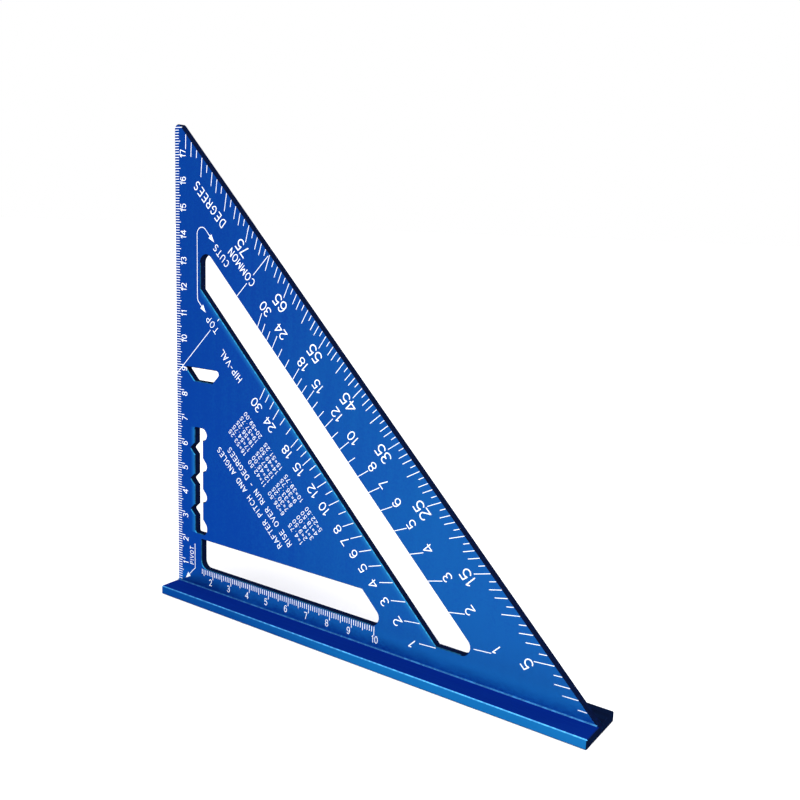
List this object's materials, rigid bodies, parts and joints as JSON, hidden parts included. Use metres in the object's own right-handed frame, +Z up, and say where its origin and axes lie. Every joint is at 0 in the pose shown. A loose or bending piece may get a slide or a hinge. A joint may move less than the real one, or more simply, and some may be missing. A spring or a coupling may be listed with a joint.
{
  "type": "speed square",
  "caption": "Metric rafter square: a blue triangular aluminium plate with slots and printed scales, standing on a T-shaped fence.",
  "frame": {"origin": "centre of the fence's underside, at the base of the whole object", "axes": "+X along the fence from the pivot corner to the far end, +Z up the square edge, the front of the blade faces -Y"},
  "size_m": [0.1844, 0.021, 0.1847],
  "materials": {
    "blade_anodised": "satin blue anodising over a finely brushed sheet",
    "fence_anodised": "satin blue anodising over an extruded bar",
    "white_ink": "thin white printing ink"
  },
  "bodies": {
    "root": {"blade": "blade_anodised", "fence": "fence_anodised", "front_edge_scale": "white_ink", "front_fence_scale": "white_ink", "front_degree_scale": "white_ink", "front_common_scale": "white_ink", "front_hip_valley_scale": "white_ink", "front_plumb_line": "white_ink", "front_loop_arrow": "white_ink", "front_pivot_arrow": "white_ink", "back_edge_scale": "white_ink", "back_fence_scale": "white_ink", "back_degree_scale": "white_ink"}
  },
  "joints": []
}
